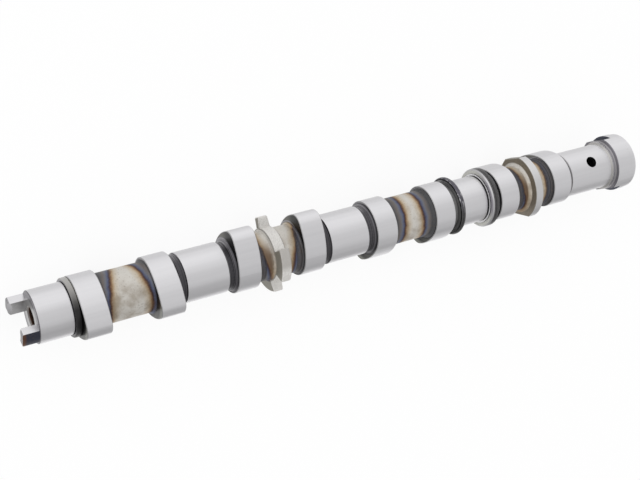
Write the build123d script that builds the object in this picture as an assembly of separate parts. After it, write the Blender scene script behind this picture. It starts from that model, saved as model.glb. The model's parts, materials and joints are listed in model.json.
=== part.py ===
from build123d import *
from dataclasses import dataclass
import math
import os

# Camshaft of a small four-cylinder engine, cast and ground in one piece.
# Lengths are in millimetres and angles in degrees.
# The shaft lies along X, with the drive lugs at its left end and the sprocket flange at its right.
# Places along it are counted from the middle journal, which lies between cylinders 2 and 3.
# Angles about it are counted from the cam noses of cylinder 1, turning from +Y towards +Z.

# Spacing, set by the cylinder head
bore_pitch = 84.0
cam_spacing = 38.7
cam_width = 13.0

# Cam outline: base circle, a large arc for each flank and a small arc for the nose
base_radius = 15.4
cam_lift = 6.0
nose_radius = 7.0
flank_radius = 30.5
cam_edge = 0.35
nose_angles = [0.0, -90.0, 90.0, 180.0]

# Bearing journals
journal_radius = 13.5
journal_edge = 0.35
journal_gap = 4.25
rear_journal_length = 17.3
rear_edge = 0.5
front_journal_length = 31.25
front_journal_gap = 2.1

# Cast shaft between the ground surfaces, with a hub that flares out to each cam
core_radius = journal_radius - 0.3
neck_radius = journal_radius - 0.6
hub_radius = base_radius - 0.7
hub_flare = 1.4

# Collar behind the first cam, with a fine groove beside the journal
collar_radius = 15.2
collar_width = 3.1
collar_groove = 0.4
collar_edge = 0.4

# Journal between cylinders 3 and 4, held between two thrust flanges
thrust_journal_length = 18.75
thrust_shift = -0.5
rear_thrust_radius = 16.8
rear_thrust_width = 3.0
rear_thrust_rounding = 1.3
front_thrust_radius = 17.2
front_thrust_width = 4.7
front_thrust_edge = 0.7
thrust_ring_radius = 14.5
thrust_ring_width = 0.5
undercut_radius = journal_radius - 0.4
undercut_width = 1.15

# Trigger wheel on the core of cylinder 2: a low ring with three drafted teeth
wheel_shift = -0.7
wheel_ring_radius = 14.5
wheel_ring_width = 6.5
wheel_ring_edge = 0.3
wheel_ring_flare = 0.7
tooth_tip_radius = 20.4
tooth_tip_width = 5.3
tooth_root_width = 6.6
tooth_edge = 0.5
tooth_spans = [(-48.0, 7.5), (44.5, 114.5), (221.5, 235.5)]

# Wrench collar on the core of cylinder 4, each flat with its direction and its distance from the axis
wrench_radius = 19.0
wrench_shift = -1.05
wrench_width = 5.2
wrench_edge = 0.3
wrench_hub_radius = 14.9
wrench_flare = 1.4
wrench_flats = [(-166.5, 17.4), (-129.2, 17.3), (60.5, 16.6)]

# Sprocket flange at the front end
shoulder_radius = 14.6
shoulder_width = 1.85
shoulder_flare = 0.9
sprocket_radius = 17.0
sprocket_width = 14.9
sprocket_edge = 0.4
sprocket_step_radius = 16.6
sprocket_step_width = 4.0
sprocket_step_edge = 1.0
spanner_width = 30.0
spanner_depth = 5.6
spanner_angle = 48.5

# Drive lugs at the rear end
lug_radius = 13.2
lug_slot = 16.0
lug_width = 8.4
lug_length = 8.4
lug_angle = 5.8
lug_corner = 1.1
lug_relief_radius = 9.9
lug_relief_depth = 2.6

# Holes
rear_bore_radius = 5.0
rear_bore_depth = 24.0
rear_countersink_radius = 5.9
oil_hole_radius = 3.4
oil_hole_edge = 0.3
oil_hole_angle = -59.8
oil_hole_from_flange = 16.1
bolt_hole_radius = 5.1
bolt_hole_depth = 26.0
bolt_countersink_radius = 6.4
oil_gallery_radius = 2.5
dowel_radius = 2.5
dowel_depth = 9.0
dowel_circle = 11.4
dowel_angle = -131.5
drill_point = 118.0

# Turns that bring the shaft to rest on a level surface, where it lies on its first cam,
# on the end of its longest tooth and on the noses of cylinder 4
rest_roll = 123.096
rest_pitch = -0.833

# Places that follow from the sizes
cylinders = [(number - 1.5) * bore_pitch for number in range(4)]
cam_reach = (cam_spacing + cam_width) / 2
collar_end = cylinders[0] - cam_reach
collar_start = collar_end - collar_width
rear_face = collar_start - collar_groove - rear_journal_length
front_journal_start = cylinders[3] + cam_reach + front_journal_gap
flange_start = front_journal_start + front_journal_length + shoulder_width
front_face = flange_start + sprocket_width
thrust_middle = (cylinders[2] + cylinders[3]) / 2 + thrust_shift
oil_hole_place = flange_start - oil_hole_from_flange
wrench_middle = cylinders[3] + wrench_shift
clear = 5.0


@dataclass
class Step:
    """A stretch of the turned outline: where it ends, its radius, and how its feet and its rims are eased."""

    end: float
    radius: float
    flare: float = 0
    bevel: float = 0
    rounding: float = 0


def about_shaft(shape, angle):
    """Turns a shape about the shaft's axis."""
    return Rotation(angle, 0, 0) * shape


def disc(start, end, radius):
    """A cylinder on the shaft's axis."""
    return Pos((start + end) / 2, 0, 0) * Rotation(0, 90, 0) * Cylinder(radius, end - start)


def cone(start, end, start_radius, end_radius):
    """A cone on the shaft's axis, whole or cut short."""
    outline = Polyline((start, 0), (start, start_radius), (end, end_radius), (end, 0), close=True)
    return revolve(make_face(outline), Axis.X, 360)


def cam_starts(centre):
    """Where the two cams of one cylinder begin."""
    return centre - cam_reach, centre + cam_reach - cam_width


def core_steps(number, centre):
    """The cast core between the two cams of one cylinder, with what stands on it."""
    end = cam_starts(centre)[1]
    if number == 1:
        middle = centre + wheel_shift
        half = wheel_ring_width / 2
        ring = Step(middle + half, wheel_ring_radius, flare=wheel_ring_flare, bevel=wheel_ring_edge)
        return [Step(middle - half, core_radius), ring, Step(end, core_radius)]
    if number == 3:
        half = wrench_width / 2
        hub = Step(wrench_middle + half, wrench_hub_radius, flare=wrench_flare)
        return [Step(wrench_middle - half, core_radius), hub, Step(end, core_radius)]
    return [Step(end, core_radius)]


def plain_journal_steps(middle, next_cam):
    """A bearing journal halfway between two cams, with a neck at each side."""
    half = bore_pitch / 2 - cam_reach - journal_gap
    return [
        Step(middle - half, neck_radius),
        Step(middle + half, journal_radius, bevel=journal_edge),
        Step(next_cam, neck_radius),
    ]


def thrust_journal_steps(next_cam):
    """The journal that holds the shaft endways, between its two flanges."""
    start = thrust_middle - thrust_journal_length / 2
    end = thrust_middle + thrust_journal_length / 2
    return [
        Step(start - rear_thrust_width, neck_radius),
        Step(start, rear_thrust_radius, rounding=rear_thrust_rounding),
        Step(end - thrust_ring_width - undercut_width, journal_radius),
        Step(end - thrust_ring_width, undercut_radius),
        Step(end, thrust_ring_radius),
        Step(end + front_thrust_width, front_thrust_radius, bevel=front_thrust_edge),
        Step(next_cam, neck_radius),
    ]


def shaft_steps():
    """The turned outline from left to right."""
    steps = [
        Step(collar_start - collar_groove, journal_radius),
        Step(collar_start, neck_radius),
        Step(collar_end, collar_radius, bevel=collar_edge),
    ]
    for number, centre in enumerate(cylinders):
        rear_cam, front_cam = cam_starts(centre)
        steps.append(Step(rear_cam + cam_width, hub_radius, flare=hub_flare))
        steps += core_steps(number, centre)
        steps.append(Step(front_cam + cam_width, hub_radius, flare=hub_flare))
        next_cam = rear_cam + bore_pitch
        if number in (0, 1):
            steps += plain_journal_steps(centre + bore_pitch / 2, next_cam)
        if number == 2:
            steps += thrust_journal_steps(next_cam)
    return steps + [
        Step(front_journal_start, neck_radius),
        Step(flange_start - shoulder_width, journal_radius, bevel=journal_edge),
        Step(flange_start, shoulder_radius, flare=shoulder_flare),
        Step(front_face - sprocket_step_width, sprocket_radius, bevel=sprocket_edge),
        Step(front_face, sprocket_step_radius, bevel=sprocket_step_edge),
    ]


def eased_path(points, cuts):
    """Straight lines through square corners, each cut back by its size, straight across or by a quarter arc."""
    path = []
    here = Vector(points[0])
    for before, square, after, (size, is_arc) in zip(points, points[1:], points[2:], cuts):
        corner = Vector(square)
        start = corner + (Vector(before) - corner).normalized() * size
        end = corner + (Vector(after) - corner).normalized() * size
        centre = start + end - corner
        path.append(Line(here, start))
        if is_arc:
            path.append(ThreePointArc(start, centre + (corner - centre).normalized() * size, end))
        elif size > 0:
            path.append(Line(start, end))
        here = end
    return path + [Line(here, points[-1])]


def wall_cuts(left, right, left_length, right_length):
    """How a wall's two corners are cut: by what size, as far as there is room, and whether by an arc."""
    low, high = (left, right) if left.radius < right.radius else (right, left)
    low_length, high_length = (left_length, right_length) if low is left else (right_length, left_length)
    wall = high.radius - low.radius
    foot = min(high.flare, 0.8 * wall, 0.45 * low_length)
    rim = min(high.bevel or high.rounding, 0.9 * (wall - foot), 0.45 * high_length)
    cuts = [(foot, False), (rim, high.rounding > 0)]
    return cuts if low is left else cuts[::-1]


def turned_shaft():
    """The whole shaft without its cams, from one outline turned about the axis."""
    steps = shaft_steps()
    places = [rear_face] + [step.end for step in steps]
    lengths = [end - start for start, end in zip(places, places[1:])]
    points = [(rear_face, 0), (rear_face, steps[0].radius)]
    cuts = [(rear_edge, False)]
    for left, right, left_length, right_length in zip(steps, steps[1:], lengths, lengths[1:]):
        points += [(left.end, left.radius), (left.end, right.radius)]
        cuts += wall_cuts(left, right, left_length, right_length)
    points += [(front_face, steps[-1].radius), (front_face, 0)]
    cuts.append((steps[-1].bevel, False))
    outline = eased_path(points, cuts) + [Line(points[-1], points[0])]
    return revolve(make_face(outline), Axis.X, 360)


def cam_outline():
    """The closed outline of a cam with its nose along +Y, from four arcs that meet smoothly."""
    nose_offset = base_radius + cam_lift - nose_radius
    to_base = flank_radius - base_radius
    to_nose = flank_radius - nose_radius
    cosine = (nose_offset**2 + to_base**2 - to_nose**2) / (2 * nose_offset * to_base)
    flank_angle = math.degrees(math.acos(cosine))
    flank_x = to_base * math.cos(math.radians(flank_angle))
    flank_y = to_base * math.sin(math.radians(flank_angle))
    base_half = 180 - flank_angle
    nose_half = math.degrees(math.atan2(flank_y, nose_offset - flank_x))
    flank_arc = base_half - nose_half
    return make_face([
        CenterArc((0, 0), base_radius, base_half, 360 - 2 * base_half),
        CenterArc((flank_x, flank_y), flank_radius, -base_half, flank_arc),
        CenterArc((nose_offset, 0), nose_radius, -nose_half, 2 * nose_half),
        CenterArc((flank_x, -flank_y), flank_radius, nose_half, flank_arc),
    ])


def cam(start, angle):
    """One cam, with its two rims broken."""
    blank = extrude(Plane.YZ.offset(start) * cam_outline(), cam_width)
    ends = blank.faces().sort_by(Axis.X)
    blank = chamfer([*ends[0].edges(), *ends[-1].edges()], cam_edge)
    return about_shaft(blank, angle)


def cams():
    """The two cams of each cylinder, with their noses alike."""
    starts = [(start, angle) for c, angle in zip(cylinders, nose_angles) for start in cam_starts(c)]
    return [cam(start, angle) for start, angle in starts]


def trigger_tooth(first, last):
    """A tooth of the trigger wheel, drafted at its sides, over the angles that it spans."""
    middle = cylinders[1] + wheel_shift
    draft = (tooth_root_width - tooth_tip_width) / 2
    root = wheel_ring_radius - 1
    slope = draft / (tooth_tip_radius - wheel_ring_radius)
    half_tip = tooth_tip_width / 2
    half_root = half_tip + slope * (tooth_tip_radius - root)
    section = Polyline(
        (middle - half_root, root),
        (middle - half_tip, tooth_tip_radius),
        (middle + half_tip, tooth_tip_radius),
        (middle + half_root, root),
        close=True,
    )
    tooth = revolve(make_face(section), Axis.X, last - first)
    rims = [edge for edge in tooth.edges() if from_axis(edge) > wheel_ring_radius]
    return about_shaft(chamfer(rims, tooth_edge), first)


def from_axis(edge):
    """How far the middle of an edge lies from the shaft's axis."""
    middle = edge @ 0.5
    return math.hypot(middle.Y, middle.Z)


def wrench_collar():
    """The collar that a wrench holds while the sprocket bolt is tightened."""
    half = wrench_width / 2
    collar = disc(wrench_middle - half, wrench_middle + half, wrench_radius)
    for angle, distance in wrench_flats:
        waste = Pos(wrench_middle, distance + wrench_radius / 2, 0)
        waste *= Box(2 * wrench_width, wrench_radius, 3 * wrench_radius)
        collar -= about_shaft(waste, angle)
    ends = collar.faces().sort_by(Axis.X)
    return chamfer([*ends[0].edges(), *ends[-1].edges()], wrench_edge)


def drive_lugs():
    """Two lugs that turn a pump or distributor, left by a slot milled across the rear end."""
    start = rear_face - lug_length
    bar = Pos((start + rear_face) / 2, 0, 0) * Box(lug_length, 2 * lug_radius, lug_width)
    bar &= disc(start, rear_face, lug_radius)
    tip = bar.faces().sort_by(Axis.X)[0]
    bar = fillet(tip.edges().filter_by(Axis.Y), lug_corner)
    bar -= Pos(start, 0, 0) * Box(2 * lug_length, lug_slot, 2 * lug_width)
    bar -= cone(start, start + lug_relief_depth, lug_relief_radius, lug_relief_radius - lug_relief_depth)
    return about_shaft(bar, lug_angle)


def drilled(mouth, depth, radius, countersink, into):
    """A drilled hole on the axis with its countersink and the cone that the drill point leaves."""
    end = mouth + into * depth
    point = radius / math.tan(math.radians(drill_point / 2))
    hole = disc(min(mouth, end), max(mouth, end), radius)
    hole += cone(mouth, mouth + into * (countersink - radius), countersink, radius)
    return hole + cone(end, end + into * point, radius, 0.01)


def oil_holes():
    """The radial hole of the front journal, and the gallery that joins it to the bolt hole."""
    hole = Pos(0, journal_radius / 2, 0) * Rotation(90, 0, 0) * Cylinder(oil_hole_radius, journal_radius)
    mouth = Pos(0, journal_radius, 0) * Rotation(-90, 0, 0)
    mouth *= Cone(oil_hole_radius - oil_hole_edge, oil_hole_radius + 3 * oil_hole_edge, 4 * oil_hole_edge)
    gallery = disc(oil_hole_place, front_face - bolt_hole_depth, oil_gallery_radius)
    return [about_shaft(Pos(oil_hole_place, 0, 0) * (hole + mouth), oil_hole_angle), gallery]


def dowel_hole():
    """The blind hole for the dowel that sets the sprocket's timing."""
    hole = Pos(0, dowel_circle, 0) * disc(front_face - dowel_depth, front_face + clear, dowel_radius)
    return about_shaft(hole, dowel_angle)


def spanner_flats():
    """What is milled away for the two flats on the sprocket flange."""
    waste = []
    for angle in (spanner_angle, spanner_angle + 180):
        block = Pos(flange_start, spanner_width / 2 + sprocket_radius / 2, 0)
        block *= Box(2 * spanner_depth, sprocket_radius, 3 * sprocket_radius)
        waste.append(about_shaft(block, angle))
    return waste


def camshaft():
    """The finished shaft."""
    shaft = turned_shaft() + cams()
    shaft += [trigger_tooth(first, last) for first, last in tooth_spans]
    shaft += wrench_collar()
    shaft += drive_lugs()
    shaft -= spanner_flats()
    shaft -= drilled(rear_face, rear_bore_depth, rear_bore_radius, rear_countersink_radius, 1)
    shaft -= drilled(front_face, bolt_hole_depth, bolt_hole_radius, bolt_countersink_radius, -1)
    shaft -= oil_holes()
    shaft -= dowel_hole()
    return shaft.solid()


def resting_place(shaft):
    """Where the shaft lies still, with its lowest point at Z = 0 and its middle over the origin."""
    turned = Rotation(0, rest_pitch, 0) * Rotation(rest_roll, 0, 0)
    box = (turned * shaft).bounding_box()
    return Pos(-box.center().X, -box.center().Y, -box.min.Z) * turned


os.makedirs("parts", exist_ok=True)
shaft = camshaft()
place = resting_place(shaft)
part = place * shaft
part.label = "camshaft"
export_step(part, "parts/camshaft.step")
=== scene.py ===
import json
import math

import bpy
from mathutils import Matrix, Vector

# The camshaft's looks: ground steel, heat-tinted castings, a blasted trigger wheel and machined faces
# painted dark as shade.
# Places on the shaft are in millimetres from the middle journal, and angles are in degrees from the
# cam noses of cylinder 1, as in the part's own drawing. A stretch of the shaft is its start and its end.

MM = 0.001

# Cams, cores and necks
BORE_PITCH = 84.0
CAM_SPACING = 38.7
CAM_WIDTH = 13.0
BASE_RADIUS = 15.4
CORE_RADIUS = 13.2
NECK_RADIUS = 12.9
JOURNAL_RADIUS = 13.5
HUB_RADIUS = 14.7
CYLINDERS = [(number - 1.5) * BORE_PITCH for number in range(4)]
CORE_HALF = (CAM_SPACING - CAM_WIDTH) / 2
LAST_CAM = CYLINDERS[3] + (CAM_SPACING + CAM_WIDTH) / 2

# Trigger wheel, wrench collar and thrust flanges
WHEEL = (-45.95, -39.45)
WHEEL_RING_RADIUS = 14.5
WRENCH = (122.35, 127.55)
WRENCH_RADIUS = 19.0
WRENCH_HUB_RADIUS = 14.9
REAR_THRUST = (71.12, 74.12)
THRUST_GROOVE = (91.22, 92.37)
FRONT_THRUST = (92.87, 97.57)
THRUST_RING_RADIUS = 14.5
GREY_SIDE_RADIUS = 15.4

# Drive end, with its collar, its bore and its two lugs
COLLAR = (-LAST_CAM - 3.1, -LAST_CAM)
COLLAR_RADIUS = 15.2
REAR_FACE = -172.65
REAR_BORE_RADIUS = 5.0
REAR_BORE_DEPTH = 24.0
COUNTERSINK_RADIUS = 5.9
LUG_ANGLE = 5.8
LUG_RADIUS = 13.2
LUG_END = REAR_FACE - 8.4
LUG_HALF_SLOT = 8.0
LUG_RELIEF_RADIUS = 9.9

# Timing end, with its oil hole, its flange and the thread in its bolt hole
FRONT_JOURNAL = (153.95, 185.2)
OIL_HOLE = 170.95
OIL_HOLE_ANGLE = -59.8
OIL_HOLE_RADIUS = 3.4
OIL_GALLERY_RADIUS = 2.5
SHOULDER_RADIUS = 14.6
SPROCKET_START = 187.05
SPROCKET_STEP = 197.95
SPROCKET_STEP_RADIUS = 16.6
SPANNER_ANGLE = 48.5
SPANNER_HALF_WIDTH = 15.0
SPANNER_DEPTH = 5.6
DOWEL_ANGLE = -131.5
THREAD = (177.0, 200.6)
THREAD_RADIUS = 5.3
THREAD_PITCH = 1.75

# The heat tint of each core, beside its rear cam and beside its front cam: the mean width, how much
# the width changes around the shaft, and the angle at which it is widest
TINTS = [
    ((6.1, 3.9, 180.0), (4.5, 3.3, 180.0)),
    ((5.9, 3.9, 90.0), (1.1, 4.5, 10.0)),
    ((6.3, 1.0, -120.0), (6.9, 0.3, -120.0)),
    ((5.2, 2.2, 60.0), (3.2, 0.8, -30.0)),
]

# Stretches of the cores with a skin of their own: scorched ones with how softly they begin and end, browner
# on the lower side as painted shade; ones darkened grey; and ones with painted shade, near black, at the
# feet of their cams
SCORCHED_AND_SHADED = [(114.0, 120.9, 0.6), (-54.0, -47.2, 1.2)]
SOOTY = [(131.0, 139.0), (113.0, 118.0), (-33.0, -29.0), (-55.0, -50.8)]
SHADED_CAM_FEET = [(135.5, 139.0), (-32.5, -29.0), (-117.0, -113.0)]

# The photograph's camera: its angle about the shaft, its turn and its roll, the place on the shaft
# that it looks at, its distance in metres and its lens
VIEW_ANGLE = -46.5
VIEW_TURN = 26.0
VIEW_ROLL = 15.02
VIEW_TARGET = -11.65
VIEW_DISTANCE = 0.641
VIEW_LENS = 66.375
NEAREST_SEEN = 0.01
PICTURE_TOP = VIEW_ANGLE - 90

# Floor and lamps, in metres
FLOOR_SIZE = 6.0
LAMP_DISTANCE = 1.8
LAMP_SIZE = 2.8

# What the camera sees of the room and the floor, and how bright the room is to matt surfaces
WHITE = (1.0, 1.0, 1.0)
ROOM_LEVEL = 0.95

# How much of the floor's look is glow, where the camera or steel sees it. The rest keeps the shadow.
FLOOR_GLOW_SHARE = 0.88

# How bright steel mirrors the floor, by how far it lies to the picture's lower side of the shaft
FLOOR_GLOW_REACH = 80.0
FLOOR_GLOW = [(-80, 0.88), (-30, 0.72), (-15, 0.78), (0, 1.0), (35, 0.95), (50, 0.60), (80, 0.36)]

# How bright steel mirrors the room, from the foot of the picture at -1 to its top at 1
ROOM_GLOW = [
    (-1.0, 0.40), (-0.86, 0.50), (-0.70, 0.65), (-0.38, 0.65),
    (0.0, 0.68), (0.35, 0.79), (0.66, 0.92), (0.90, 0.95),
]

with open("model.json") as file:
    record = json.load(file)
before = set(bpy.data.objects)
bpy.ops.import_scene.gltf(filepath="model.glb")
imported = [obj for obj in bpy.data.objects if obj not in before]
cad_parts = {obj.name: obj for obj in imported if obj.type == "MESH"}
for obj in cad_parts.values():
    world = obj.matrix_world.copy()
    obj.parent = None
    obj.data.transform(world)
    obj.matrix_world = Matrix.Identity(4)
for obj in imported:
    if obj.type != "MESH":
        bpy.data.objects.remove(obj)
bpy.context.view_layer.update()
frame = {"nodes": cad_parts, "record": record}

mounts = {mount["name"]: mount for mount in frame["record"]["mounts"]}
middle = Vector(mounts["journal_3"]["pos_m"])
along = Vector(mounts["journal_3"]["axis"]).normalized()
to_dowel = Vector(mounts["sprocket_dowel_hole"]["pos_m"]) - middle
to_dowel = (to_dowel - along * to_dowel.dot(along)).normalized()
cam_noses = Matrix.Rotation(math.radians(-DOWEL_ANGLE), 3, along) @ to_dowel
shaft_turn = Matrix((along, cam_noses, along.cross(cam_noses))).transposed()


def about_shaft(angle):
    """A direction square to the shaft, at an angle about it."""
    return Matrix.Rotation(math.radians(angle), 3, along) @ cam_noses


class Value:
    """A socket in a material. Sums, products and powers of it add Math nodes."""

    def __init__(self, tree, socket):
        self.tree = tree
        self.socket = socket

    def math(self, operation, *others):
        return calculate(self.tree, operation, self, *others)

    def __add__(self, other):
        return self.math("ADD", other)

    def __sub__(self, other):
        return self.math("SUBTRACT", other)

    def __rsub__(self, other):
        return calculate(self.tree, "SUBTRACT", other, self)

    def __mul__(self, other):
        return self.math("MULTIPLY", other)

    def __truediv__(self, other):
        return self.math("DIVIDE", other)

    def __pow__(self, other):
        return self.math("POWER", other)

    def __abs__(self):
        return self.math("ABSOLUTE")

    def low(self, other):
        return self.math("MINIMUM", other)

    def high(self, other):
        return self.math("MAXIMUM", other)

    __radd__ = __add__
    __rmul__ = __mul__


def feed(tree, socket, value):
    """Links a value to a socket, or sets the socket to a number, a vector or a colour."""
    if isinstance(value, Value):
        tree.links.new(value.socket, socket)
    elif socket.type == "RGBA":
        socket.default_value = (*value, 1.0)
    else:
        socket.default_value = value


def node(tree, kind, settings=None, inputs=None, output=0):
    """Adds a node of a kind, with its settings first and then what its sockets are given."""
    new = tree.nodes.new("ShaderNode" + kind)
    for name, value in (settings or {}).items():
        if name == "stops":
            set_stops(new.color_ramp.elements, value)
        else:
            setattr(new, name, value)
    for name, value in (inputs or {}).items():
        feed(tree, new.inputs[name], value)
    return Value(tree, new.outputs[output]) if new.outputs else None


def set_stops(elements, stops):
    """Gives a colour ramp its stops, each a place from 0 to 1 and a colour."""
    while len(elements) < len(stops):
        elements.new(1.0)
    for element, (place, colour) in zip(elements, stops):
        element.position = place
        element.color = (*colour, 1.0)


def calculate(tree, operation, *terms):
    """A Math node on values and numbers."""
    return node(tree, "Math", {"operation": operation}, dict(enumerate(terms)))


def facing(vector, direction):
    """How far a vector goes in a direction."""
    inputs = {0: vector, 1: tuple(direction)}
    return node(vector.tree, "VectorMath", {"operation": "DOT_PRODUCT"}, inputs, "Value")


def blend(mask, first, second):
    """One colour with another laid over it by a mask."""
    return node(mask.tree, "Mix", {"data_type": "RGBA"}, {0: mask, 6: first, 7: second}, 2)


def mix(mask, first, second):
    """One number with another laid over it by a mask."""
    return first + (second - first) * mask


def soft(value, start, end):
    """0 before start and 1 after end, with a smooth rise between them."""
    inputs = {"Value": value, "From Min": start, "From Max": end}
    return node(value.tree, "MapRange", {"interpolation_type": "SMOOTHSTEP"}, inputs)


def within(value, low, high, edge):
    """1 between two places and 0 outside them."""
    return soft(value, low - edge, low + edge) * (1 - soft(value, high - edge, high + edge))


def ramp(value, start, end, stops):
    """A colour by where a value lies between two ends, with stops in the value's own units."""
    stops = [((place - start) / (end - start), colour) for place, colour in stops]
    return node(value.tree, "ValToRGB", {"stops": stops}, {0: (value - start) / (end - start)}, "Color")


def screen(red, green, blue):
    """A colour by its three numbers on the screen, from 0 to 255."""
    return tuple((part / 255) ** 2.2 for part in (red, green, blue))


def plain(level):
    """A grey that sends back a share of the light."""
    return (level, level, level)


class Place:
    """Where a point of the shaft lies and how it faces, as values in a material."""

    def __init__(self, tree):
        self.tree = tree
        inputs = {
            "Vector": node(tree, "TexCoord", output="Object"),
            "Location": middle,
            "Rotation": shaft_turn.to_euler(),
            "Scale": (MM, MM, MM),
        }
        self.point = node(tree, "Mapping", {"vector_type": "TEXTURE"}, inputs)
        self.x, self.y, self.z = (node(tree, "SeparateXYZ", {}, {0: self.point}, axis) for axis in range(3))
        self.radius = (self.y * self.y + self.z * self.z) ** 0.5
        self.endwise = abs(facing(node(tree, "TexCoord", output="Normal"), along))
        self.end_face = soft(self.endwise, 0.8, 0.9)
        self.bevel = soft(self.endwise, 0.3, 0.4) * (1 - self.end_face)
        self.upper = self.side(PICTURE_TOP)
        self.core = self.cast_core()

    def cast_core(self):
        """1 between the two cams of a cylinder."""
        half = BORE_PITCH / 2
        from_middle = abs((self.x - half).math("WRAP", half, -half))
        inner = 1 - soft(from_middle, CORE_HALF - 0.06, CORE_HALF - 0.02)
        return inner * self.between(-LAST_CAM, LAST_CAM)

    def between(self, start, end, edge=0.03):
        """1 between two places along the shaft."""
        return within(self.x, start, end, edge)

    def on(self, stretches):
        """1 on any of several stretches of the shaft."""
        found = self.between(*stretches[0])
        for stretch in stretches[1:]:
            found = found.high(self.between(*stretch))
        return found

    def inside(self, radius):
        """1 nearer to the axis than a radius."""
        return 1 - self.outside(radius)

    def outside(self, radius):
        """1 farther from the axis than a radius."""
        return soft(self.radius, radius - 0.03, radius + 0.03)

    def offset(self, angle):
        """How far the point lies from the axis, measured in the direction of an angle."""
        turn = math.radians(angle)
        return self.y * math.cos(turn) + self.z * math.sin(turn)

    def side(self, angle):
        """From 1 on the side of the shaft that faces an angle to -1 on the far side."""
        return self.offset(angle) / self.radius

    def noise(self, fine, detail, around=None):
        """Noise from 0 to 1, by how fine it is along the shaft and, where that differs, around it."""
        around = around or fine
        inputs = {0: self.point, 1: (fine, around, around)}
        stretched = node(self.tree, "VectorMath", {"operation": "MULTIPLY"}, inputs)
        return node(self.tree, "TexNoise", {}, {"Vector": stretched, "Scale": 1.0, "Detail": detail}, "Fac")

    def rings(self, fine):
        """Noise that runs round the shaft, as turning marks do."""
        across = node(self.tree, "CombineXYZ", {}, {0: self.x * fine, 1: self.radius * fine})
        return node(self.tree, "TexNoise", {}, {"Vector": across, "Scale": 1.0, "Detail": 3.0}, "Fac")

    def shade(self, stops):
        """A colour by how far up the picture the point faces, from -1 to 1, for painting light and shade."""
        return ramp(self.upper, -1.0, 1.0, stops)


class Finish:
    """How a surface looks: its colour, its roughness and how metallic it is."""

    def __init__(self, colour, rough, metal):
        self.colour = colour
        self.rough = rough
        self.metal = metal

    def under(self, mask, colour, rough, metal):
        """The same finish with another one laid over it by a mask."""
        laid = blend(mask, self.colour, colour)
        return Finish(laid, mix(mask, self.rough, rough), mix(mask, self.metal, metal))


def ground_finish(at):
    """Ground steel, with faint painted reflections in lines along the shaft and fainter grinding marks round
    it.
    """
    marks = at.rings(3.0)
    # Painted reflection: faint lines of tone along the shaft, which also vary the roughness
    reflection_streaks = at.noise(0.008, 3.0, around=0.5)
    colour = blend(reflection_streaks * 0.7 + marks * 0.3, screen(222, 221, 224), screen(238, 237, 239))
    return Finish(colour, 0.27 + reflection_streaks * 0.06 + marks * 0.04, 1.0)


def neck_finish(finish, at):
    """Dark turned steel on the necks and hubs, with a painted highlight towards the top and painted shade,
    blackest where hub and cam meet, and one grey neck.
    """
    slate = blend(soft(at.rings(2.4), 0.35, 0.65), screen(44, 44, 47), screen(104, 102, 106))
    # Painted highlight: paler turning marks on the side that faces the top of the picture
    gleam = soft(at.upper, 0.55, 0.95) * soft(at.rings(3.1), 0.42, 0.6)
    slate = blend(gleam * 0.7, slate, screen(190, 188, 192))
    # Painted shade: near black where hub and cam meet, except on the side that faces the top of the picture
    soot_and_shade_mask = soft(at.radius, HUB_RADIUS - 0.7, HUB_RADIUS + 0.3) * (1 - soft(at.upper, 0.6, 0.9))
    slate = blend(soot_and_shade_mask * 0.8, slate, screen(20, 20, 21))
    turned = at.between(COLLAR[0] - 0.45, FRONT_JOURNAL[0] + 0.3) * (1 - at.core)
    finish = finish.under(turned * at.inside(JOURNAL_RADIUS - 0.15), slate, 0.35, 0.85)
    hub = turned * at.inside(BASE_RADIUS - 0.05) * at.outside(NECK_RADIUS + 0.05)
    finish = finish.under(hub * soft(at.endwise, 0.25, 0.4), slate, 0.32, 0.85)
    grey_neck = at.between(REAR_THRUST[0] - 3.2, REAR_THRUST[0]) * at.inside(JOURNAL_RADIUS + 0.1)
    return finish.under(grey_neck, screen(150, 150, 150), 0.45, 0.8)


def cam_face_finish(finish, at):
    """Painted shade on the sides of the cams: near black, greyer towards the upper tips, with painted floor
    light on the noses.
    """
    # Painted light and shade by how far up the picture each face points
    soot_and_shade_grey = at.shade([
        (-1.0, screen(72, 72, 68)),
        (-0.85, screen(40, 40, 40)),
        (-0.3, screen(28, 28, 30)),
        (0.62, screen(32, 32, 33)),
        (0.84, screen(58, 58, 57)),
        (0.98, screen(108, 107, 102)),
    ])
    # Painted light: the noses greyer on the lower side, lit as if from the floor
    floor_light_on_noses = soft(at.radius, BASE_RADIUS + 1.8, BASE_RADIUS + 4.2) * (1 - soft(at.upper, -0.6, -0.2))
    soot_and_shade_grey = blend(floor_light_on_noses, soot_and_shade_grey, screen(112, 112, 106))
    soot_and_shade_grey = blend(soft(at.rings(3.4), 0.5, 0.75) * 0.25, soot_and_shade_grey, screen(110, 108, 106))
    cams = at.between(-LAST_CAM - 0.05, LAST_CAM + 0.05, 0.01)
    finish = finish.under(at.end_face * cams * at.outside(BASE_RADIUS - 0.2), soot_and_shade_grey, 0.3, 0.85)
    return finish.under(at.bevel * cams * at.outside(BASE_RADIUS - 0.4), screen(176, 175, 176), 0.35, 1.0)


def tint_depth(at):
    """How far inside the heat tint's edge a point of the cast core lies: below 0 towards the cam."""
    depth = 0
    for cylinder, tints in zip(CYLINDERS, TINTS):
        for end, (width, swing, widest) in zip((-1, 1), tints):
            face = cylinder + end * CORE_HALF
            width = width + at.side(widest) * swing
            half = at.between(min(cylinder, face), max(cylinder, face), 0.001)
            depth = depth + ((at.x - face) * -end - width) * half
    return depth


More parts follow.
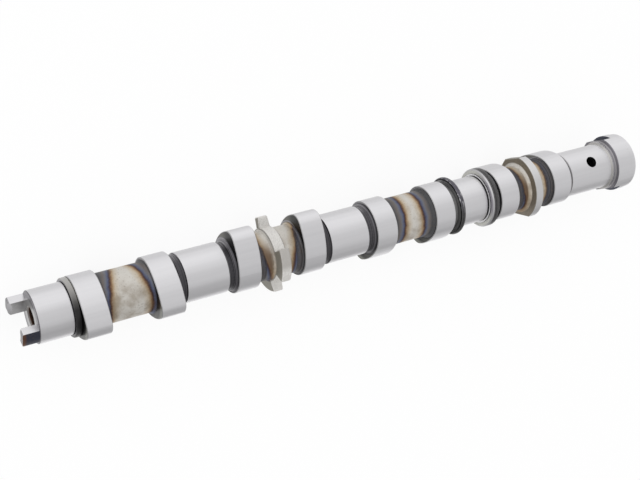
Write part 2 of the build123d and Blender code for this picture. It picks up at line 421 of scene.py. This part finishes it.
def heat_tint(depth):
    """The colours that hardening the cams left on the core: slate, blue, purple, brown, straw and cream."""
    return ramp(depth, -9.0, 9.0, [
        (-9.0, screen(48, 48, 50)),
        (-5.0, screen(84, 84, 86)),
        (-3.4, screen(108, 101, 98)),
        (-2.2, screen(106, 108, 116)),
        (-1.2, screen(84, 91, 116)),
        (-0.5, screen(66, 60, 76)),
        (0.0, screen(70, 50, 44)),
        (0.7, screen(124, 94, 68)),
        (1.4, screen(166, 142, 112)),
        (2.6, screen(194, 182, 164)),
        (5.0, screen(206, 202, 195)),
    ])


def cast_finish(finish, at):
    """The cores' matt cast skin in its heat tints, with stains and scorch-browned stretches laid only on the
    lower side as painted shade too, stretches darkened grey with turning marks, painted shade at the feet of
    some cams, and specks.
    """
    wobble = at.noise(0.22, 4.0) - 0.5
    speckle = at.noise(1.4, 3.0) - 0.5
    depth = tint_depth(at) + wobble * 1.8 + speckle * 0.9
    clean = soft(depth, 0.3, 1.2)
    # The lower side of the picture, where stains and browner skin are laid, which paints shade there
    lower = 1 - soft(at.upper, -0.1, 0.7)
    stains_and_lower_shade = clean * soft(at.noise(0.16, 5.0), 0.38, 0.66) * lower
    skin = blend(stains_and_lower_shade * 0.6, heat_tint(depth), screen(140, 126, 108))
    scorch_and_lower_shade = at.on(SCORCHED_AND_SHADED) * clean * lower
    skin = blend(scorch_and_lower_shade * 0.85, skin, screen(112, 90, 72))
    soot_and_shade_grey = blend(soft(at.rings(3.2), 0.45, 0.62), screen(42, 40, 42), screen(100, 98, 101))
    soot_and_shade_mask = at.on(SOOTY) * (1 - clean)
    skin = blend(soot_and_shade_mask * 0.75, skin, soot_and_shade_grey)
    # Painted shade: near black in the corner where the core meets some cams
    black = at.on(SHADED_CAM_FEET) * soft(at.radius, HUB_RADIUS - 1.1, HUB_RADIUS - 0.1)
    skin = blend(black * 0.85, skin, screen(18, 18, 19))
    specks = soft(at.noise(1.1, 5.0), 0.56, 0.70)
    skin = blend(specks * 0.35, skin, screen(116, 100, 84))
    return finish.under(at.core * at.inside(BASE_RADIUS - 0.1), skin, 0.45, 0.4)


def wheel_finish(finish, at):
    """The trigger wheel, blasted to a light warm grey, with painted shade on its sides, low at both its ends
    and on the long tooth.
    """
    grain = at.noise(2.6, 5.0)
    light = blend(soft(grain, 0.3, 0.7), screen(199, 196, 192), screen(234, 232, 228))
    # Painted shade: a darker copy of the blasted grey for the wheel's sides
    dark = blend(grain, screen(120, 117, 109), screen(160, 156, 146))
    # Painted shade: darker low down at both ends of the wheel, where it meets the shaft
    edge_shade = (1 - at.between(WHEEL[0] + 0.35, WHEEL[1] - 0.35, 0.15)) * at.inside(WHEEL_RING_RADIUS + 0.4)
    light = blend(edge_shade * 0.6, light, screen(110, 104, 96))
    # Painted shade: the long tooth darker where it faces across the picture
    long_tooth_shade = at.outside(WHEEL_RING_RADIUS + 2.5) * within(at.upper, -0.5, 0.35, 0.1)
    light = blend(long_tooth_shade * 0.75, light, screen(168, 164, 159))
    wheel = at.between(WHEEL[0] - 0.04, WHEEL[1] + 0.04, 0.02) * at.outside(CORE_RADIUS + 0.2)
    finish = finish.under(wheel, light, 0.5, 0.35)
    return finish.under(wheel * at.end_face, dark, 0.5, 0.4)


def wrench_finish(finish, at):
    """The wrench collar, ground on its rim and cast brown on its sides and flats."""
    grain = at.noise(1.2, 4.0)
    brown = blend(grain, screen(106, 98, 86), screen(150, 141, 127))
    pale_brown = blend(grain, screen(124, 120, 110), screen(158, 153, 142))
    collar = at.between(WRENCH[0] - 0.04, WRENCH[1] + 0.04, 0.02)
    finish = finish.under(collar * at.end_face * at.outside(WRENCH_HUB_RADIUS + 0.1), brown, 0.45, 0.5)
    below_rim = at.inside(WRENCH_RADIUS - 0.1) * at.outside(WRENCH_HUB_RADIUS + 0.7)
    finish = finish.under(collar * (1 - at.end_face) * below_rim, pale_brown, 0.4, 0.6)
    return finish.under(collar * at.outside(WRENCH_RADIUS - 0.1), screen(222, 221, 222), 0.3, 1.0)


def turned_rim(at):
    """The dark, streaked rims of the thrust flanges."""
    return blend(soft(at.rings(4.0), 0.35, 0.65), screen(44, 44, 44), screen(118, 117, 118))


def rear_thrust_finish(finish, at):
    """The rear thrust flange, black and grey on its side, with painted light on its rim: violet with painted
    glints above, dark below.
    """
    # Painted highlights: glints on the rim
    glints = soft(at.noise(0.9, 3.0, around=0.35), 0.5, 0.66)
    violet = blend(glints, screen(96, 94, 101), screen(214, 213, 216))
    # Painted light: the rim violet and glinting towards the top of the picture, dark below
    rim = blend(soft(at.upper, -0.6, 0.3), turned_rim(at), violet)
    side = blend(at.inside(GREY_SIDE_RADIUS), screen(30, 30, 31), screen(150, 150, 150))
    flange = at.between(REAR_THRUST[0] - 0.05, REAR_THRUST[1] - 0.02, 0.02)
    steel = blend(at.end_face, rim, side)
    return finish.under(flange * at.outside(JOURNAL_RADIUS + 0.1), steel, 0.28, 0.9)


def front_thrust_finish(finish, at):
    """The front thrust flange, dark on its rim, with a pale side, painted paler where it faces up or down
    the picture, and edge towards the journal.
    """
    flange = at.between(FRONT_THRUST[0] - 0.05, FRONT_THRUST[1] + 0.05, 0.02)
    flange = flange * at.outside(THRUST_RING_RADIUS + 0.1)
    finish = finish.under(flange * (1 - at.bevel), turned_rim(at), 0.3, 0.9)
    # Painted light: the side paler where it faces the top or the foot of the picture
    lit_pale_side = at.shade([
        (-1.0, screen(196, 196, 190)),
        (-0.85, screen(186, 186, 181)),
        (-0.6, screen(156, 153, 160)),
        (0.4, screen(154, 151, 159)),
        (0.75, screen(182, 181, 178)),
        (0.95, screen(196, 196, 190)),
    ])
    journal_side = 1 - soft(at.x, 95.0, 96.0)
    finish = finish.under(flange * at.end_face * journal_side, lit_pale_side, 0.4, 0.3)
    return finish.under(flange * at.bevel * journal_side, screen(196, 195, 197), 0.3, 1.0)


def thrust_groove_finish(finish, at):
    """The groove beside the front thrust flange, painted black as shade, with its bright side, and a dark
    low ring.
    """
    groove = at.between(THRUST_GROOVE[0], THRUST_GROOVE[1] + 0.05, 0.01)
    # Painted shade: the groove black inside the journal's radius
    finish = finish.under(groove * at.inside(JOURNAL_RADIUS - 0.05), screen(34, 33, 36), 0.4, 0.3)
    finish = finish.under(groove * at.end_face * at.outside(JOURNAL_RADIUS), screen(238, 237, 239), 0.4, 0.3)
    ring = at.between(THRUST_GROOVE[1] + 0.06, FRONT_THRUST[0] - 0.02, 0.01)
    return finish.under(ring * at.inside(THRUST_RING_RADIUS + 0.1), screen(64, 62, 67), 0.4, 0.4)


def collar_finish(finish, at):
    """The rear collar, painted bright above and dark below as light and shade, with a speckled burr beside
    the first cam.
    """
    # Painted light and shade by how far up the picture the collar faces
    steel = at.shade([
        (-1.0, screen(70, 68, 66)),
        (-0.9, screen(66, 65, 66)),
        (-0.15, screen(62, 61, 62)),
        (0.1, screen(96, 95, 94)),
        (0.55, screen(160, 158, 156)),
        (0.95, screen(196, 195, 192)),
    ])
    speckle = soft(at.noise(1.6, 5.0), 0.4, 0.6)
    burr = soft(at.x, COLLAR[1] - 0.7, COLLAR[1] - 0.4) * soft(at.upper, -0.2, 0.3)
    steel = blend(burr * speckle * 0.8, steel, screen(112, 104, 84))
    collar = at.between(COLLAR[0] + 0.02, COLLAR[1] - 0.01, 0.02) * (1 - at.end_face)
    return finish.under(collar * at.outside(COLLAR_RADIUS - 1), steel, 0.33, 0.9)


def drive_end_finish(finish, at):
    """The drive end: a grey end face, pale slot sides, and a blued lug with a brown tip."""
    grain = at.noise(0.8, 4.0)
    face = blend(grain, screen(150, 150, 151), screen(196, 195, 194))
    outer_face = blend(grain, screen(112, 110, 115), screen(152, 151, 153))
    face = blend(soft(at.radius, LUG_RELIEF_RADIUS - 0.5, LUG_RELIEF_RADIUS + 0.3), face, outer_face)
    beyond = 1 - soft(at.x, REAR_FACE + 0.02, REAR_FACE + 0.06)
    finish = finish.under(beyond * at.end_face * at.inside(LUG_RADIUS - 0.1), face, 0.34, 1.0)
    edge = at.between(REAR_FACE - 0.05, REAR_FACE + 0.6) * at.bevel * at.outside(JOURNAL_RADIUS - 1.5)
    finish = finish.under(edge, screen(128, 126, 130), 0.35, 1.0)
    finish = finish.under(beyond * at.bevel, screen(168, 167, 169), 0.35, 1.0)

    across_slot = at.offset(LUG_ANGLE)
    in_slot = 1 - soft(abs(across_slot), LUG_HALF_SLOT + 0.02, LUG_HALF_SLOT + 0.06)
    slot_sides = blend(grain, screen(176, 175, 176), screen(214, 213, 213))
    finish = finish.under(beyond * (1 - at.end_face) * in_slot, slot_sides, 0.34, 1.0)
    blued = blend(soft(at.x, LUG_END + 0.85, LUG_END + 2.45), screen(112, 80, 62), screen(68, 70, 82))
    blued = blend(soft(grain, 0.5, 0.7) * 0.5, blued, screen(92, 84, 84))
    outer_lug = beyond * soft(across_slot, LUG_HALF_SLOT, LUG_HALF_SLOT + 0.3) * at.outside(LUG_RADIUS - 0.2)
    return finish.under(outer_lug * (1 - at.end_face), blued, 0.3, 0.85)


def rear_bore_finish(finish, at):
    """The bore in the drive end, brown inside, with a grey countersink."""
    countersink = at.between(REAR_FACE - 0.05, REAR_FACE + 1.0) * at.inside(COUNTERSINK_RADIUS + 0.3)
    finish = finish.under(countersink * at.bevel, screen(128, 124, 122), 0.4, 0.9)
    bore = at.between(REAR_FACE + 0.6, REAR_FACE + REAR_BORE_DEPTH + 2) * at.inside(REAR_BORE_RADIUS + 0.3)
    return finish.under(bore, screen(74, 56, 46), 0.45, 0.7)


def oil_hole_finish(finish, at):
    """The oil hole in the front journal, painted black down to the gallery as shade."""
    # Painted shade: the hole black
    from_hole = ((at.x - OIL_HOLE) ** 2 + at.offset(OIL_HOLE_ANGLE + 90) ** 2) ** 0.5
    hole = 1 - soft(from_hole, OIL_HOLE_RADIUS + 0.02, OIL_HOLE_RADIUS + 0.1)
    depth = at.inside(JOURNAL_RADIUS - 0.2) * at.outside(OIL_GALLERY_RADIUS + 0.1)
    return finish.under(hole * depth * soft(at.offset(OIL_HOLE_ANGLE), 0, 1), screen(10, 10, 11), 0.6, 0.3)


def flange_finish(finish, at):
    """The sprocket flange: a grey foot and shoulder, slate flats, a faint line, and a seam at cam 8."""
    shoulder = at.between(SPROCKET_START - 0.06, SPROCKET_START + 0.5, 0.02)
    shoulder = shoulder * at.outside(SHOULDER_RADIUS - 0.05) * soft(at.endwise, 0.3, 0.4)
    outer = soft(at.radius, SHOULDER_RADIUS + 0.4, SHOULDER_RADIUS + 0.8)
    greys = blend(outer, screen(176, 174, 175), screen(122, 120, 125))
    finish = finish.under(shoulder, greys, 0.35, 0.9)
    foot = at.between(FRONT_JOURNAL[1] - 1.1, SPROCKET_START - 0.04) * soft(at.endwise, 0.12, 0.3)
    finish = finish.under(foot, screen(184, 182, 180), 0.35, 0.95)
    across_flats = abs(at.offset(SPANNER_ANGLE))
    cut = soft(across_flats, SPANNER_HALF_WIDTH - 0.1, SPANNER_HALF_WIDTH - 0.02)
    flats = at.between(SPROCKET_START + 0.06, SPROCKET_START + SPANNER_DEPTH + 0.05, 0.02)
    finish = finish.under(flats * cut, screen(84, 86, 95), 0.35, 0.9)
    line = at.between(SPROCKET_STEP - 0.25, SPROCKET_STEP + 0.05) * at.outside(SPROCKET_STEP_RADIUS - 0.6)
    finish = finish.under(line, screen(176, 172, 172), 0.3, 1.0)
    seam = at.between(LAST_CAM + 0.02, FRONT_JOURNAL[0] + 0.45) * at.inside(HUB_RADIUS + 0.3)
    return finish.under(seam, screen(168, 166, 168), 0.35, 0.9)


def surface_height(at):
    """How the surface rises: turning marks, the cores' cast skin and the fine thread in the bolt hole."""
    ground_rim = at.between(*WRENCH) * at.outside(WRENCH_RADIUS - 0.1)
    cast = at.core * at.inside(WRENCH_RADIUS + 2) * (1 - ground_rim)
    turns = (at.x * (2 * math.pi / THREAD_PITCH)).math("SINE")
    thread = turns * at.between(*THREAD) * at.inside(THREAD_RADIUS) * (1 - at.end_face)
    return at.rings(3.0) * 0.1 + at.noise(2.2, 5.0) * cast + thread * 8


def empty_tree(owner):
    """The node tree of a new material or world, with no nodes in it."""
    owner.use_nodes = True
    owner.node_tree.nodes.clear()
    return owner.node_tree


def steel():
    """The shaft's one material, with a finish for each kind of surface."""
    material = bpy.data.materials.new("camshaft_steel")
    tree = empty_tree(material)
    at = Place(tree)
    finish = ground_finish(at)
    for lay_over in (
        neck_finish,
        cam_face_finish,
        cast_finish,
        wheel_finish,
        wrench_finish,
        rear_thrust_finish,
        front_thrust_finish,
        thrust_groove_finish,
        collar_finish,
        drive_end_finish,
        rear_bore_finish,
        oil_hole_finish,
        flange_finish,
    ):
        finish = lay_over(finish, at)
    relief = {"Strength": 0.3, "Distance": 0.02 * MM, "Height": surface_height(at)}
    inputs = {
        "Base Color": finish.colour,
        "Roughness": finish.rough,
        "Metallic": finish.metal,
        "Normal": node(tree, "Bump", {}, relief, "Normal"),
    }
    node(tree, "OutputMaterial", {}, {"Surface": node(tree, "BsdfPrincipled", {}, inputs)})
    return material


def rays(tree, kind):
    """1 for light rays of a kind: Camera, Glossy or Transmission."""
    return node(tree, "LightPath", output=f"Is {kind} Ray")


def glow(value, reach, levels):
    """Greys by where a value lies from one end of its reach to the other."""
    return ramp(value, -reach, reach, [(place, plain(level)) for place, level in levels])


def paper():
    """The white floor, which keeps the shaft's soft shadow. Steel mirrors it brightest under the shaft."""
    material = bpy.data.materials.new("white_paper")
    tree = empty_tree(material)
    lower_side = along.cross(Vector((0, 0, 1))).normalized()
    across = facing(node(tree, "TexCoord", output="Object"), lower_side / MM) - middle.dot(lower_side) / MM
    seen = rays(tree, "Camera")
    colour = blend(seen, glow(across, FLOOR_GLOW_REACH, FLOOR_GLOW), WHITE)
    share = (seen + rays(tree, "Glossy") + rays(tree, "Transmission")).low(1.0) * FLOOR_GLOW_SHARE
    sheet = node(tree, "BsdfDiffuse", {}, {"Color": screen(250, 250, 250)})
    shine = node(tree, "Emission", {}, {"Color": colour, "Strength": 1.0})
    surface = node(tree, "MixShader", {}, {0: share, 1: sheet, 2: shine})
    node(tree, "OutputMaterial", {}, {"Surface": surface})
    return material


def floor():
    """A wide white floor under the shaft."""
    bpy.ops.mesh.primitive_plane_add(size=FLOOR_SIZE, location=(0, 0, 0))
    sheet = bpy.context.object
    sheet.name = "white_floor"
    sheet.data.materials.append(paper())


def room():
    """White surroundings, which steel mirrors brightest towards the top of the picture."""
    world = bpy.data.worlds.new("studio")
    bpy.context.scene.world = world
    tree = empty_tree(world)
    upward = facing(node(tree, "TexCoord", output="Generated"), about_shaft(PICTURE_TOP))
    mirrored = (rays(tree, "Glossy") + rays(tree, "Transmission")).low(1.0)
    level = blend(mirrored, plain(ROOM_LEVEL), glow(upward, 1.0, ROOM_GLOW))
    colour = blend(rays(tree, "Camera"), level, WHITE)
    sky = node(tree, "Background", {}, {"Color": colour, "Strength": 1.0})
    node(tree, "OutputWorld", {}, {"Surface": sky})


def lamp(name, rise, lean, power):
    """A soft square lamp, some degrees above the camera and leaning towards the drive end."""
    light = bpy.data.lights.new(name, "AREA")
    light.shape = "SQUARE"
    light.size = LAMP_SIZE
    light.energy = power
    holder = bpy.data.objects.new(name, light)
    bpy.context.scene.collection.objects.link(holder)
    direction = (about_shaft(VIEW_ANGLE - rise) - along * lean).normalized()
    holder.location = middle + direction * LAMP_DISTANCE
    holder.rotation_mode = "QUATERNION"
    holder.rotation_quaternion = direction.to_track_quat("Z", "Y")


def photographer():
    """The camera, at the photograph's angle."""
    turn, roll = math.radians(VIEW_TURN), math.radians(VIEW_ROLL)
    towards, upright = about_shaft(VIEW_ANGLE), about_shaft(PICTURE_TOP)
    forward = math.sin(turn) * along - math.cos(turn) * towards
    level = math.cos(turn) * along + math.sin(turn) * towards
    right = math.cos(roll) * level - math.sin(roll) * upright
    up = math.sin(roll) * level + math.cos(roll) * upright
    lens = bpy.data.cameras.new("camera")
    lens.lens = VIEW_LENS
    lens.clip_start = NEAREST_SEEN
    camera = bpy.data.objects.new("camera", lens)
    bpy.context.scene.collection.objects.link(camera)
    matrix = Matrix((right, up, -forward)).transposed().to_4x4()
    matrix.translation = middle + along * VIEW_TARGET * MM - forward * VIEW_DISTANCE
    camera.matrix_world = matrix
    bpy.context.scene.camera = camera


metal = steel()
for slot in frame["nodes"]["camshaft"].material_slots:
    slot.material = metal
floor()
room()
photographer()
lamp("key_lamp", rise=30, lean=0.9, power=5.0)
lamp("fill_lamp", rise=60, lean=1.6, power=3.0)
bpy.context.scene.view_settings.view_transform = "Standard"
